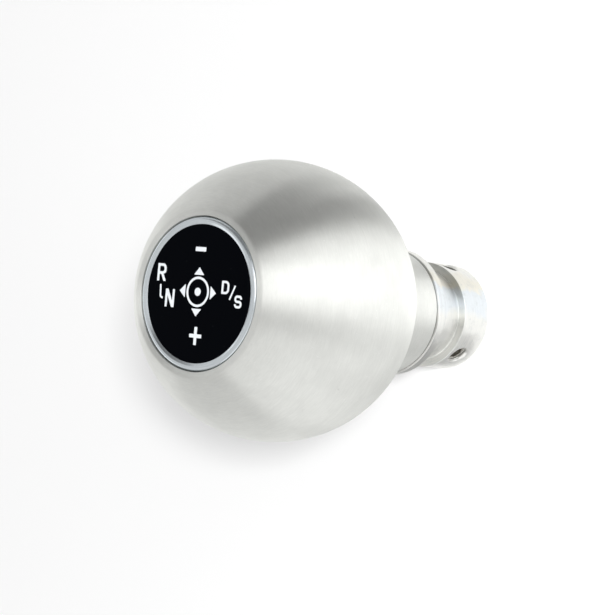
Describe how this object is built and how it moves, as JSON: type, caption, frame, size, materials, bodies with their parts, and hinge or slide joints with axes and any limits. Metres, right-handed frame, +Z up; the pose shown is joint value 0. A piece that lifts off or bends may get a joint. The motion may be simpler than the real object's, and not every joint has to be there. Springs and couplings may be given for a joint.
{
  "type": "gear shift knob",
  "caption": "Ball gear knob with a flat printed shift badge, a neck, and a flanged clamp-on adapter with boot groove and radial set screws for a plain lever stem.",
  "frame": {"origin": "centre of the adapter's lower end face, on the lever axis", "axes": "+Z up the lever axis towards the badge, +Y towards the top of the printed shift pattern, +X towards its right"},
  "size_m": [0.054, 0.054, 0.0783],
  "materials": {
    "turned_aluminium": "satin, fine turned grain round the axis, clear anodised",
    "badge_metal": "satin, pale grey anodised",
    "printed_disc": "black with white printed marks, semi-gloss",
    "adhesive_foam": "thin double-sided foam pad",
    "zinc_plate": "bright zinc plate on turned steel, faint blue and straw passivation",
    "screw_steel": "dark oiled steel"
  },
  "bodies": {
    "knob": {"knob_head": "turned_aluminium", "badge_cup": "badge_metal", "badge_disc": "printed_disc", "badge_pad": "adhesive_foam", "adapter": "zinc_plate"},
    "screw_1": {"set_screw_1": "screw_steel"},
    "screw_2": {"set_screw_2": "screw_steel"},
    "screw_3": {"set_screw_3": "screw_steel"}
  },
  "joints": [
    {"name": "clamp_1", "type": "slide", "parent": "knob", "child": "screw_1", "axis": [-0.6947, 0.7193, 0], "range_m": [-0.0008, 0.002]},
    {"name": "clamp_2", "type": "slide", "parent": "knob", "child": "screw_2", "axis": [-0.2756, -0.9613, 0], "range_m": [-0.0008, 0.002]},
    {"name": "clamp_3", "type": "slide", "parent": "knob", "child": "screw_3", "axis": [0.9703, 0.2419, 0], "range_m": [-0.0008, 0.002]}
  ]
}
